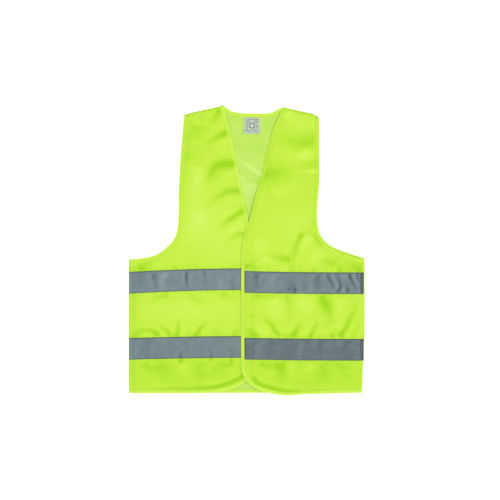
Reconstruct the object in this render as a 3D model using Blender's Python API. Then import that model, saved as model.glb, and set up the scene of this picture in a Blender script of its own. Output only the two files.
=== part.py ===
"""High visibility vest, closed and laid flat with its front up.

X runs across the vest with the wearer's left at +X, Y runs from the hem up to the neck, and Z is up.
Sizes and outlines are in millimetres, and MM turns them into Blender's metres where a shape is made.
"""

import math

import bmesh
import bpy
from mathutils import Matrix, Vector
from mathutils.geometry import interpolate_bezier

MM = 0.001

# Thicknesses, and the gap between separate pieces
CLOTH = 0.6
TRIM = 0.5
GAP = 0.3

# Trim
BINDING_LEG = 7.5
TAPE_WIDTH = 50.0
TURN_OVERRUN = 1.5
TURN_LENGTH = 3.6
HOOK_WIDTH = 16.0
LOOP_WIDTH = 11.2
SEAM_ALLOWANCE = 12.0
LABEL_SIZE = (38.0, 37.5)
LABEL_TOP = (13.0, 307.6)
LABEL_TURN = math.radians(-3)

# Heights of the middle of each layer, from the surface that the vest lies on
BACK_TRIM_Z = TRIM / 2
BACK_CLOTH_Z = TRIM + GAP + CLOTH / 2
INSIDE_TRIM_Z = BACK_CLOTH_Z + CLOTH / 2 + GAP + TRIM / 2
HOOK_Z = INSIDE_TRIM_Z + TRIM + GAP
FRONT_CLOTH_Z = HOOK_Z + TRIM / 2 + GAP + CLOTH / 2
FRONT_TRIM_Z = FRONT_CLOTH_Z + CLOTH / 2 + GAP + TRIM / 2
LOOP_ON_TAPE_Z = FRONT_TRIM_Z + TRIM + GAP
SEAM_Z = (BACK_CLOTH_Z + FRONT_CLOTH_Z) / 2
SEAM_THICKNESS = FRONT_CLOTH_Z - BACK_CLOTH_Z - CLOTH - 2 * GAP

# The lines along Y where the two fronts fold open. The left front lies over the right one.
RIGHT_FOLD_X = -52.0
LEFT_FOLD_X = 78.0
FOLD_AXIS_Z = FRONT_TRIM_Z + TRIM / 2 + GAP
LEFT_FRONT_LIFT = math.radians(2.6)

# Edges of the cloth. Each list is a few points that a smooth line passes through.
SIDE_X = 273.5
LEFT_TAPE_END = 272.0
RIGHT_EDGE_X = 9.0
LEFT_EDGE_X = -12.0
RIGHT_HEM = (-SIDE_X, -332.5)
LEFT_HEM = (267.5, -331.5)
RIGHT_UNDERARM = (-SIDE_X, -23.0)
LEFT_UNDERARM = (SIDE_X, -20.0)
RIGHT_NECK = (-55.2, 336.7)
LEFT_NECK = (85.3, 331.8)
RIGHT_SHOULDER = (-144.5, 314.0)
LEFT_SHOULDER = (168.0, 308.0)

BACK_NECKLINE = [RIGHT_NECK, (-44, 327), (-26, 319.5), (15, 316.5), (56, 318), (72, 325.5), LEFT_NECK]
RIGHT_SHOULDER_LINE = [RIGHT_NECK, (-67, 332), (-88, 327), (-123, 319.5), RIGHT_SHOULDER]
LEFT_SHOULDER_LINE = [LEFT_NECK, (101, 327.5), (134, 320), (157, 314.5), LEFT_SHOULDER]
RIGHT_ARMHOLE = [
    RIGHT_UNDERARM, (-241, -20), (-212, -13), (-188, 3), (-171, 21), (-162, 41),
    (-158, 72), (-157, 140), (-151.5, 232), RIGHT_SHOULDER,
]
LEFT_ARMHOLE_TOP = [(167.5, 43), (163, 76), (165, 120), (168.5, 163), (168.5, 240), LEFT_SHOULDER]
LEFT_ARMHOLE = [LEFT_UNDERARM, (246, -11), (218, -1.5), (192, 11), (177.5, 25)] + LEFT_ARMHOLE_TOP
LEFT_FRONT_ARMHOLE = [(SIDE_X, -24), (247, -16), (217, -6.5), (190.5, 6), (176, 22)] + LEFT_ARMHOLE_TOP
LEFT_SIDE = [LEFT_HEM, (270, -262), (SIDE_X, -190)]
RIGHT_FRONT_EDGE = [
    RIGHT_NECK, (-43, 289), (-34, 249), (-23, 196), (-12, 138), (0, 84), (6, 46),
    (RIGHT_EDGE_X, -5), (RIGHT_EDGE_X, -272),
    (5, -293), (-7, -308), (-28, -320), (-56, -328), (-95, -332), RIGHT_HEM,
]
LEFT_FRONT_EDGE = [
    LEFT_NECK, (64, 285), (50, 236), (35, 176), (19, 120), (4, 62), (-7, 30), (-11.2, -2),
    (LEFT_EDGE_X, -36), (LEFT_EDGE_X, -266), (-8, -290), (8, -311), (36, -327), (86, -337), (138, -334.5),
    LEFT_HEM,
]

# Top edges of the reflective tapes, from the side seam inwards
UPPER_TAPE_Y = {"right": (-51.5, -43.0), "left": (-52.5, -50.5), "back": (-52.0, -52.0)}
LOWER_TAPE_Y = {"right": (-205.0, -201.0), "left": (-207.5, -204.0), "back": (-205.0, -205.0)}

# Hook and loop patches: the bottom and top of each, and the side of each that is nearer the wearer's right
UPPER_PATCH_Y = (-99.0, -55.0)
LOWER_PATCH_Y = (-280.0, -258.0)
HOOK_X = -2.0
LOOP_X = -11.6

# Colours: linear red, green and blue
CLOTH_COLOUR = (0.56, 0.87, 0.06)
INSIDE_COLOUR = (0.58, 0.86, 0.13)
BINDING_COLOUR = (0.62, 0.92, 0.09)
TAPE_COLOUR = (0.19, 0.25, 0.26)
PATCH_COLOUR = (0.50, 0.78, 0.07)
LABEL_COLOUR = (0.85, 0.86, 0.83)


def clear_scene():
    for obj in list(bpy.data.objects):
        bpy.data.objects.remove(obj, do_unlink=True)


def collection(name, hidden=False):
    made = bpy.data.collections.new(name)
    bpy.context.scene.collection.children.link(made)
    made.hide_render = hidden
    return made


def placed(name, data, group, z=0.0):
    obj = bpy.data.objects.new(name, data)
    obj.location.z = z * MM
    group.objects.link(obj)
    return obj


def finish(obj, colour, roughness=0.85, metallic=0.0):
    """Gives a piece a material of its own."""
    mat = bpy.data.materials.new(obj.name)
    mat.use_nodes = True
    shader = mat.node_tree.nodes["Principled BSDF"]
    shader.inputs["Base Color"].default_value = (*colour, 1.0)
    shader.inputs["Roughness"].default_value = roughness
    shader.inputs["Metallic"].default_value = metallic
    mat.diffuse_color = (*colour, 1.0)
    obj.data.materials.clear()
    obj.data.materials.append(mat)
    return obj


def flowing(points, turn_per_step=math.radians(8)):
    """Points along a smooth line through the given ones, closer together where the line turns."""
    knots = [Vector(p).to_3d() for p in points]
    last = len(knots) - 1
    headings = [(knots[min(i + 1, last)] - knots[max(i - 1, 0)]).normalized() for i in range(last + 1)]
    line = []
    for i in range(last):
        a, b, leave, arrive = knots[i], knots[i + 1], headings[i], headings[i + 1]
        chord = b - a
        turn = leave.angle(chord, 0.0) + arrive.angle(chord, 0.0)
        steps = max(1, math.ceil(turn / turn_per_step))
        reach = chord.length / 3
        line += interpolate_bezier(a, a + leave * reach, b - arrive * reach, b, steps + 1)[:-1]
    return [(p.x, p.y) for p in line + [knots[-1]]]


def poly_curve(name, points, closed, group, z=0.0):
    curve = bpy.data.curves.new(name, "CURVE")
    spline = curve.splines.new("POLY")
    spline.points.add(len(points) - 1)
    for point, (x, y) in zip(spline.points, points):
        point.co = (x * MM, y * MM, 0, 1)
    spline.use_cyclic_u = closed
    return placed(name, curve, group, z)


def as_mesh(obj):
    """Replaces a curve object, or an object with modifiers, by the mesh that it evaluates to."""
    evaluated = obj.evaluated_get(bpy.context.evaluated_depsgraph_get())
    mesh = bpy.data.meshes.new_from_object(evaluated)
    shape = bmesh.new()
    shape.from_mesh(mesh)
    bmesh.ops.remove_doubles(shape, verts=shape.verts, dist=0.001 * MM)
    bmesh.ops.recalc_face_normals(shape, faces=shape.faces)
    shape.to_mesh(mesh)
    shape.free()
    name, group, place = obj.name, obj.users_collection[0], obj.location.z / MM
    bpy.data.objects.remove(obj, do_unlink=True)
    return placed(name, mesh, group, place)


def flat(name, points, z, thickness, group):
    """A flat piece of cloth or trim with this outline."""
    obj = poly_curve(name, points, True, group, z)
    obj.data.dimensions = "2D"
    obj.data.fill_mode = "BOTH"
    obj.data.extrude = thickness / 2 * MM
    bpy.context.view_layer.update()
    return as_mesh(obj)


def binding_section(group):
    """The folded strip's section: two legs over the cloth's faces, joined round its edge."""
    outer = CLOTH / 2 + GAP + TRIM
    inner = CLOTH / 2 + GAP
    tip, back, fold = -BINDING_LEG, GAP + TRIM, GAP
    points = [
        (tip, outer), (back, outer), (back, -outer), (tip, -outer),
        (tip, -inner), (fold, -inner), (fold, inner), (tip, inner),
    ]
    obj = poly_curve("binding_section", points, True, group)
    obj.data.dimensions = "2D"
    obj.data.fill_mode = "NONE"
    return obj


def binding(name, line, z, section, group):
    """A strip folded over the edge of a cloth that lies to the left of the line's direction."""
    obj = poly_curve(name, line, False, group, z)
    obj.data.dimensions = "3D"
    obj.data.twist_mode = "Z_UP"
    obj.data.bevel_mode = "OBJECT"
    obj.data.bevel_object = section
    obj.data.use_fill_caps = True
    bpy.context.view_layer.update()
    return as_mesh(obj)


def cut(obj, x, keep):
    """Keeps the side of x that keep's sign says, half a gap away from x, and closes the cut."""
    shape = bmesh.new()
    shape.from_mesh(obj.data)
    bmesh.ops.bisect_plane(
        shape,
        geom=shape.verts[:] + shape.edges[:] + shape.faces[:],
        plane_co=((x + keep * GAP / 2) * MM, 0, 0),
        plane_no=(1, 0, 0),
        clear_outer=keep < 0,
        clear_inner=keep > 0,
    )
    bmesh.ops.holes_fill(shape, edges=[e for e in shape.edges if e.is_boundary], sides=0)
    bmesh.ops.recalc_face_normals(shape, faces=shape.faces)
    shape.to_mesh(obj.data)
    shape.free()
    return obj


def split(obj, x, right_name, left_name):
    """Two pieces from one, either side of a fold line. The first is the one towards the wearer's right."""
    twin = placed(left_name, obj.data.copy(), obj.users_collection[0], obj.location.z / MM)
    obj.name = right_name
    return cut(obj, x, -1), cut(twin, x, 1)


def united(name, pieces):
    """One piece from several that run into each other."""
    whole = pieces[0]
    for other in pieces[1:]:
        join = whole.modifiers.new(other.name, "BOOLEAN")
        join.operation = "UNION"
        join.object = other
    bpy.context.view_layer.update()
    whole = as_mesh(whole)
    for other in pieces[1:]:
        bpy.data.objects.remove(other, do_unlink=True)
    whole.name = name
    return whole


def turned_edge(name, corner, across, group):
    """The short length of binding that passes from the front's edge to the back's at the end of a shoulder."""
    low, high = TRIM / 10, FRONT_TRIM_Z + TRIM * 0.4
    shape = bmesh.new()
    bmesh.ops.create_cube(shape, size=1.0)
    size = Vector((TURN_LENGTH, TURN_OVERRUN - GAP, high - low)) * MM
    x, y = corner[0] + across, corner[1] + (TURN_OVERRUN + GAP) / 2
    centre = Vector((x, y, (low + high) / 2)) * MM
    shape.transform(Matrix.Translation(centre) @ Matrix.Diagonal(size).to_4x4())
    mesh = bpy.data.meshes.new(name)
    shape.to_mesh(mesh)
    shape.free()
    return placed(name, mesh, group)


def back(group):
    edge = (
        [RIGHT_HEM, LEFT_HEM]
        + flowing(LEFT_SIDE)[1:]
        + flowing(LEFT_ARMHOLE)
        + flowing(LEFT_SHOULDER_LINE)[::-1][1:]
        + flowing(BACK_NECKLINE)[::-1][1:]
        + flowing(RIGHT_SHOULDER_LINE)[1:]
        + flowing(RIGHT_ARMHOLE)[::-1][1:]
    )
    finish(flat("back_panel", edge, BACK_CLOTH_Z, CLOTH, group), INSIDE_COLOUR)


def fronts(group):
    """Both front panels, each in two: the part held by the side and shoulder seams, and the flap that folds open."""
    right_edge = flowing(RIGHT_FRONT_EDGE) + flowing(RIGHT_ARMHOLE) + flowing(RIGHT_SHOULDER_LINE)[::-1][1:-1]
    right = flat("right_front", right_edge, FRONT_CLOTH_Z, CLOTH, group)
    side, flap = split(right, RIGHT_FOLD_X, "right_front_panel", "right_front_flap")
    finish(side, CLOTH_COLOUR)
    right_flap = finish(flap, CLOTH_COLOUR)
    left_edge = (
        flowing(LEFT_FRONT_EDGE)
        + flowing(LEFT_SIDE)[1:]
        + flowing(LEFT_FRONT_ARMHOLE)
        + flowing(LEFT_SHOULDER_LINE)[::-1][1:-1]
    )
    left = flat("left_front", left_edge, FRONT_CLOTH_Z, CLOTH, group)
    flap, side = split(left, LEFT_FOLD_X, "left_front_flap", "left_front_panel")
    finish(side, CLOTH_COLOUR)
    return right_flap, finish(flap, CLOTH_COLOUR)


def beyond(line):
    """The line with its last point moved on, to where the binding turns over the end of a shoulder."""
    end, before = Vector(line[-1]), Vector(line[-2])
    return line[:-1] + [tuple(end + (end - before).normalized() * TURN_OVERRUN)]


def front_bindings(section, group):
    """The binding of each front edge: its hem part, its flap part, and its end beside the neck."""
    right_line = beyond(flowing(RIGHT_FRONT_EDGE)[::-1])
    left_line = beyond(flowing(LEFT_FRONT_EDGE)[::-1])[::-1]
    right = binding("right_edge", right_line, FRONT_CLOTH_Z, section, group)
    left = binding("left_edge", left_line, FRONT_CLOTH_Z, section, group)
    right_side, right_flap = split(right, RIGHT_FOLD_X, "right_side", "right_flap_binding")
    left_flap, left_side = split(left, LEFT_FOLD_X, "left_flap_binding", "left_side")
    return right_side, finish(right_flap, BINDING_COLOUR), left_side, finish(left_flap, BINDING_COLOUR)


def half_of(obj, name, above):
    """One of an object's two separate bodies: the one above or below y = 0."""
    shape = bmesh.new()
    shape.from_mesh(obj.data)
    other = [v for v in shape.verts if (v.co.y > 0) != above]
    bmesh.ops.delete(shape, geom=other, context="VERTS")
    mesh = bpy.data.meshes.new(name)
    shape.to_mesh(mesh)
    shape.free()
    return placed(name, mesh, obj.users_collection[0], obj.location.z / MM)


def fixed_bindings(right_side, left_side, section, group):
    """Hem, neck and armhole bindings that stay with the body of the vest."""
    for side, obj in (("right", right_side), ("left", left_side)):
        finish(half_of(obj, side + "_hem_binding", above=False), BINDING_COLOUR)
    hem = flowing([RIGHT_HEM, LEFT_HEM])
    finish(binding("back_hem_binding", hem, BACK_CLOTH_Z, section, group), BINDING_COLOUR)

    neckline = beyond(beyond(flowing(BACK_NECKLINE))[::-1])
    neck = [
        binding("neck", neckline, BACK_CLOTH_Z, section, group),
        half_of(right_side, "right_neck", above=True),
        half_of(left_side, "left_neck", above=True),
        turned_edge("right_turn", RIGHT_NECK, 0.2, group),
        turned_edge("left_turn", LEFT_NECK, -0.2, group),
    ]
    finish(united("neck_binding", neck), BINDING_COLOUR)
    for obj in (right_side, left_side):
        bpy.data.objects.remove(obj, do_unlink=True)

    armholes = (
        ("right", RIGHT_ARMHOLE, RIGHT_ARMHOLE, RIGHT_SHOULDER, -1.6, False),
        ("left", LEFT_ARMHOLE, LEFT_FRONT_ARMHOLE, LEFT_SHOULDER, 1.6, True),
    )
    for side, back_edge, front_edge, shoulder, outwards, onwards in armholes:
        lines = [beyond(flowing(back_edge)), beyond(flowing(front_edge))]
        if not onwards:
            lines = [line[::-1] for line in lines]
        strip = [
            binding("back_" + side, lines[0], BACK_CLOTH_Z, section, group),
            binding("front_" + side, lines[1], FRONT_CLOTH_Z, section, group),
            turned_edge("turn_" + side, shoulder, outwards, group),
        ]
        finish(united(side + "_armhole_binding", strip), BINDING_COLOUR)


def tapes(group):
    """Reflective tapes. Those on the fronts are cut at the fold lines."""
    flap_pieces = {"right": [], "left": []}
    for level, tops in (("upper", UPPER_TAPE_Y), ("lower", LOWER_TAPE_Y)):
        outer, inner = tops["back"]
        back_tape = tape(f"{level}_back_tape", -SIDE_X, LEFT_TAPE_END, outer, inner, BACK_TRIM_Z, group)
        finish(back_tape, TAPE_COLOUR, 0.5)
        bound = BINDING_LEG + GAP
        outer, inner = tops["right"]
        whole = tape("right_tape", -SIDE_X, RIGHT_EDGE_X - bound, outer, inner, FRONT_TRIM_Z, group)
        side, flap = split(whole, RIGHT_FOLD_X, f"{level}_right_tape", f"{level}_right_flap_tape")
        finish(side, TAPE_COLOUR, 0.5)
        flap_pieces["right"].append(finish(flap, TAPE_COLOUR, 0.5))
        outer, inner = tops["left"]
        whole = tape("left_tape", LEFT_TAPE_END, LEFT_EDGE_X + bound, outer, inner, FRONT_TRIM_Z, group)
        flap, side = split(whole, LEFT_FOLD_X, f"{level}_left_flap_tape", f"{level}_left_tape")
        finish(side, TAPE_COLOUR, 0.5)
        flap_pieces["left"].append(finish(flap, TAPE_COLOUR, 0.5))
    return flap_pieces


def tape(name, outer_x, inner_x, outer_y, inner_y, z, group):
    corners = [
        (outer_x, outer_y), (inner_x, inner_y),
        (inner_x, inner_y - TAPE_WIDTH), (outer_x, outer_y - TAPE_WIDTH),
    ]
    return flat(name, corners, z, TRIM, group)


def rectangle(x, y, width, height):
    return [(x, y), (x + width, y), (x + width, y + height), (x, y + height)]


def patches(group):
    """Hook patches under the left front's edge, and the loop patches that they press on to."""
    hooks, loops = [], []
    levels = (("upper", UPPER_PATCH_Y, LOOP_ON_TAPE_Z), ("lower", LOWER_PATCH_Y, FRONT_TRIM_Z))
    for level, (low, high), loop_z in levels:
        shape = rectangle(HOOK_X, low, HOOK_WIDTH, high - low)
        hooks.append(finish(flat(level + "_hook_patch", shape, HOOK_Z, TRIM, group), PATCH_COLOUR))
        shape = rectangle(LOOP_X, low, LOOP_WIDTH, high - low)
        loops.append(finish(flat(level + "_loop_patch", shape, loop_z, TRIM, group), PATCH_COLOUR))
    return loops, hooks


def seams(group):
    """The joined edges of front and back, turned in between them at the sides and the shoulders."""
    clear = BINDING_LEG + GAP + 0.5
    for side, sign, top in (("right", -1, RIGHT_UNDERARM[1]), ("left", 1, LEFT_FRONT_ARMHOLE[0][1])):
        low = max(RIGHT_HEM[1], LEFT_HEM[1]) + clear
        high = top - clear
        outer = SIDE_X - GAP
        if side == "left":
            edge = [(x - GAP, y) for x, y in flowing(LEFT_SIDE) if y > low + 20] + [(outer, high)]
            foot = (LEFT_HEM[0] - GAP, low)
            line = [foot] + edge
        else:
            line = [(sign * outer, low), (sign * outer, high)]
        inner = [(x - sign * SEAM_ALLOWANCE, y) for x, y in reversed(line)]
        finish(flat(side + "_side_seam", line + inner, SEAM_Z, SEAM_THICKNESS, group), CLOTH_COLOUR)
    for side, line in (("right", RIGHT_SHOULDER_LINE), ("left", LEFT_SHOULDER_LINE)):
        start, end = Vector(line[0]), Vector(line[-1])
        along = (end - start).normalized()
        first, last = start + along * 13, end - along * 13
        middle = [Vector(p) for p in flowing(line)[1:-1]]
        kept = [p for p in middle if 13 < (p - start).dot(along) < (end - start).length - 13]
        edge = [tuple(p - Vector((0, 2.4))) for p in [first] + kept + [last]]
        inner = [(x, y - SEAM_ALLOWANCE) for x, y in reversed(edge)]
        finish(flat(side + "_shoulder_seam", edge + inner, SEAM_Z, SEAM_THICKNESS, group), CLOTH_COLOUR)


def care_label(group):
    """A label sewn in by its top edge. Its origin is the middle of that edge."""
    width, height = LABEL_SIZE
    label = flat("care_label", rectangle(-width / 2, -height, width, height), 0, TRIM, group)
    label.location = Vector((*LABEL_TOP, INSIDE_TRIM_Z)) * MM
    label.rotation_euler.z = LABEL_TURN
    finish(label, LABEL_COLOUR, 0.7)


def hang(pieces, fold_x, turn, name, group):
    """Puts a flap's pieces on the line that it folds about, turned by its angle at rest."""
    axis = Vector((fold_x, 0, FOLD_AXIS_Z)) * MM
    hinge = placed(name, None, group)
    hinge.location = axis
    hinge.rotation_euler.y = turn
    for piece in pieces:
        piece.parent = hinge
        piece.matrix_parent_inverse = Matrix.Translation(-axis)


def main():
    clear_scene()
    vest = collection("high_visibility_vest")
    helpers = collection("helpers", hidden=True)
    section = binding_section(helpers)
    section.hide_render = True
    section.display_type = "WIRE"

    back(vest)
    right_flap, left_flap = fronts(vest)
    right_side, right_binding, left_side, left_binding = front_bindings(section, vest)
    fixed_bindings(right_side, left_side, section, vest)
    flap_tapes = tapes(vest)
    loops, hooks = patches(vest)
    seams(vest)
    care_label(vest)
    hang([right_flap, right_binding] + flap_tapes["right"] + loops, RIGHT_FOLD_X, 0.0, "right_fold", vest)
    hang([left_flap, left_binding] + flap_tapes["left"] + hooks, LEFT_FOLD_X, LEFT_FRONT_LIFT, "left_fold", vest)
    bpy.data.objects.remove(section, do_unlink=True)


main()
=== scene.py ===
"""Looks of the high visibility vest, laid flat and closed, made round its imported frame.

X runs across the vest with the wearer's left at +X, Y from the hem up to the neck, and Z is up.
Outlines and sizes are in millimetres, as in the frame's own design, and MM turns them into metres.
"""

import math

import bmesh
import bpy
import numpy as np
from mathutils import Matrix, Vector
from mathutils.geometry import delaunay_2d_cdt, interpolate_bezier


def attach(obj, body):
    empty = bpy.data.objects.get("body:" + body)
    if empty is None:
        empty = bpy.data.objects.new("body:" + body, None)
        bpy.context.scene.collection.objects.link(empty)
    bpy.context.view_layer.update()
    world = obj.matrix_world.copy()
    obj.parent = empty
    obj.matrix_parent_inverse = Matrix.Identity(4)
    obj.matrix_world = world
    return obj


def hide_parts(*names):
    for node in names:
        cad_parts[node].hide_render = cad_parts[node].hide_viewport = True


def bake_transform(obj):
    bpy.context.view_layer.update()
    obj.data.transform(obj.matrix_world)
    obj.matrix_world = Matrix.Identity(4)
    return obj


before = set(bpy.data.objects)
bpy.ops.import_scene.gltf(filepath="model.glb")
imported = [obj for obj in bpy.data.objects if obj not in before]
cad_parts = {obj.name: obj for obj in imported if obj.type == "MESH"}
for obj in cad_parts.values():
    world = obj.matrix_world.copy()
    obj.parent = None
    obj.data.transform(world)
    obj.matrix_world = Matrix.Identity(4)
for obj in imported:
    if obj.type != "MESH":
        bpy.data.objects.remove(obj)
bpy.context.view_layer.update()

MM = 0.001

# The frame's outlines, repeated: each list is a few points that a smooth line passes through
SIDE_X = 273.5
RIGHT_HEM = (-SIDE_X, -332.5)
LEFT_HEM = (267.5, -331.5)
RIGHT_UNDERARM = (-SIDE_X, -23.0)
LEFT_UNDERARM = (SIDE_X, -20.0)
RIGHT_NECK = (-55.2, 336.7)
LEFT_NECK = (85.3, 331.8)
RIGHT_SHOULDER = (-144.5, 314.0)
LEFT_SHOULDER = (168.0, 308.0)
RIGHT_EDGE_X = 9.0
LEFT_EDGE_X = -12.0
BACK_NECKLINE = [RIGHT_NECK, (-44, 327), (-26, 319.5), (15, 316.5), (56, 318), (72, 325.5), LEFT_NECK]
RIGHT_SHOULDER_LINE = [RIGHT_NECK, (-67, 332), (-88, 327), (-123, 319.5), RIGHT_SHOULDER]
LEFT_SHOULDER_LINE = [LEFT_NECK, (101, 327.5), (134, 320), (157, 314.5), LEFT_SHOULDER]
RIGHT_ARMHOLE = [
    RIGHT_UNDERARM, (-241, -20), (-212, -13), (-188, 3), (-171, 21), (-162, 41),
    (-158, 72), (-157, 140), (-151.5, 232), RIGHT_SHOULDER,
]
LEFT_ARMHOLE_TOP = [(167.5, 43), (163, 76), (165, 120), (168.5, 163), (168.5, 240), LEFT_SHOULDER]
LEFT_ARMHOLE = [LEFT_UNDERARM, (246, -11), (218, -1.5), (192, 11), (177.5, 25)] + LEFT_ARMHOLE_TOP
LEFT_FRONT_ARMHOLE = [(SIDE_X, -24), (247, -16), (217, -6.5), (190.5, 6), (176, 22)] + LEFT_ARMHOLE_TOP
LEFT_SIDE = [LEFT_HEM, (270, -262), (SIDE_X, -190)]
RIGHT_FRONT_EDGE = [
    RIGHT_NECK, (-43, 289), (-34, 249), (-23, 196), (-12, 138), (0, 84), (6, 46),
    (RIGHT_EDGE_X, -5), (RIGHT_EDGE_X, -272),
    (5, -293), (-7, -308), (-28, -320), (-56, -328), (-95, -332), RIGHT_HEM,
]
LEFT_FRONT_EDGE = [
    LEFT_NECK, (64, 285), (50, 236), (35, 176), (19, 120), (4, 62), (-7, 30), (-11.2, -2),
    (LEFT_EDGE_X, -36), (LEFT_EDGE_X, -266), (-8, -290), (8, -311), (36, -327), (86, -337), (138, -334.5),
    LEFT_HEM,
]

# The lines that the fronts fold open about, and how much cloth beside each one bends
RIGHT_FOLD_X = -52.0
LEFT_FOLD_X = 78.0
BEND_LENGTH = 11.0

# Reflective tapes: heights of the top edge at the side seam and at the front edge,
# and how much painted shade each gets
LEVELS = ("upper", "lower")
TAPE_WIDTH = 50.0
TAPE_SEAM = 2.0
TAPES = {
    ("upper", "right"): (-51.5, -43.0, 0.15),
    ("upper", "left"): (-52.5, -49.0, 0.50),
    ("upper", "back"): (-52.0, -52.0, 0.0),
    ("lower", "right"): (-205.0, -200.5, 0.35),
    ("lower", "left"): (-207.0, -204.0, 1.10),
    ("lower", "back"): (-205.0, -205.0, 0.0),
}
LEFT_TAPE_END = 272.0
TAPE_TURNS_AT = 262.0

# Hook and loop patches
HOOK_WIDTH = 16.0
LOOP_WIDTH = 11.2
PATCH_SPANS = {"upper": (-99.0, -55.0), "lower": (-280.0, -258.0)}
HOOK_X = -2.0
LOOP_X = -11.6

# Label: the middle of its sewn edge, and its size
LABEL_SIZE = (38.0, 37.5)
LABEL_TOP = (13.0, 307.6)
LABEL_TURN = math.radians(-3)

# Heights of the middle of each layer of cloth, and thicknesses
BACK_Z = 1.1
FRONT_Z = 3.6
BACK_SEAM_Z = 1.5
FRONT_SEAM_Z = 3.05
LABEL_Z = 1.95
CLOTH = 0.6
TAPE = 0.4
PATCH = 0.4
TAPE_ABOVE = CLOTH / 2 + 0.1 + TAPE / 2
ON_CLOTH = CLOTH / 2 + 0.1
ON_TAPE = TAPE_ABOVE + TAPE / 2 + 0.05
OVERLAP_RISE = 3.7
LOOSE_RISE = 0.55
SEAM_ALLOWANCE = 12.0
BINDING_LEG = 7.5
ARMHOLE_LEG = 9.0
STITCH_INSET = 1.3
FINE_STITCH = 0.42
PATCH_STITCH_RISE = 0.28
CELL = 3.4

# Where the main light comes from
LIGHT = Vector((0.42, -0.52, 1.30)).normalized()


# ---------------------------------------------------------------- lines and surfaces

def smooth(share):
    share = np.clip(share, 0.0, 1.0)
    return share * share * (3 - 2 * share)


def bell(distance, width):
    return np.exp(-((distance / width) ** 2))


def evenly(line, spacing):
    """The same line with evenly spaced points."""
    line = np.asarray(line, float)
    length = np.concatenate([[0], np.cumsum(np.hypot(*np.diff(line, axis=0).T))])
    count = max(2, int(round(length[-1] / spacing)) + 1)
    places = np.linspace(0, length[-1], count)
    return np.column_stack([np.interp(places, length, line[:, i]) for i in range(line.shape[1])])


def flowing(points, spacing=CELL):
    """Evenly spaced points along the frame's smooth line through the given ones."""
    knots = [Vector(p).to_3d() for p in points]
    last = len(knots) - 1
    headings = [(knots[min(i + 1, last)] - knots[max(i - 1, 0)]).normalized() for i in range(last + 1)]
    line = []
    for i in range(last):
        a, b = knots[i], knots[i + 1]
        reach = (b - a).length / 3
        steps = max(3, math.ceil(reach))
        line += interpolate_bezier(a, a + headings[i] * reach, b - headings[i + 1] * reach, b, steps)[:-1]
    return evenly([(p.x, p.y) for p in line + [knots[-1]]], spacing)


def length_of(line):
    return float(np.hypot(*np.diff(np.asarray(line)[:, :2], axis=0).T).sum())


def area_of(outline):
    x, y = outline.T
    return abs(float(np.dot(x, np.roll(y, -1)) - np.dot(y, np.roll(x, -1)))) / 2


def beside(line, x, y):
    """For each place, how far along the line it lies, as a share, and its distance to the line's left."""
    start, step = line[:-1], np.diff(line, axis=0)
    lengths = np.hypot(step[:, 0], step[:, 1])
    starts = np.concatenate([[0], np.cumsum(lengths)])
    from_x, from_y = x[:, None] - start[:, 0], y[:, None] - start[:, 1]
    share = np.clip((from_x * step[:, 0] + from_y * step[:, 1]) / lengths**2, 0, 1)
    away = np.hypot(from_x - share * step[:, 0], from_y - share * step[:, 1])
    nearest = away.argmin(axis=1)
    pick = (np.arange(len(x)), nearest)
    side = np.sign(step[nearest, 0] * from_y[pick] - step[nearest, 1] * from_x[pick])
    return (starts[nearest] + share[pick] * lengths[nearest]) / starts[-1], side * away[pick]


def folded(x, y, folds):
    """Height of soft folds, and their painted shade. A fold is a line, the width of its flank and its rise.
    The flank under the line faces away from the main light if the rise is positive.
    A fold is deepest near its first end. Its painted shade is sharp at its foot,
    and a painted highlight runs along its crest."""
    height, shade = np.zeros(len(x)), np.zeros(len(x))
    for order, (points, width, rise) in enumerate(folds):
        line = flowing(points, 7.0)
        share, across = beside(line, x, y)
        heading = line[-1] - line[0]
        if -heading[1] * LIGHT.x + heading[0] * LIGHT.y < 0:
            across = -across
        along = share * length_of(line)
        sway = 0.12 * np.sin(along / 9.0 + order) + 0.05 * np.sin(along / 3.7 + 2.2 * order)
        reach = across / width + sway
        ends = smooth(share / 0.08) * (1 - share) ** 0.9
        height += ends * rise * reach * np.exp(0.5 - 0.5 * reach**2)
        flank = 0.6 * bell(reach, 0.78) + 0.4 * bell(reach, 2.1)
        crests = bell(reach - 2.6, 1.3) + bell(reach + 2.3, 1.1)
        shade += ends * rise * (1.10 * flank - 0.25 * crests)
    return height, shade


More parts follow.
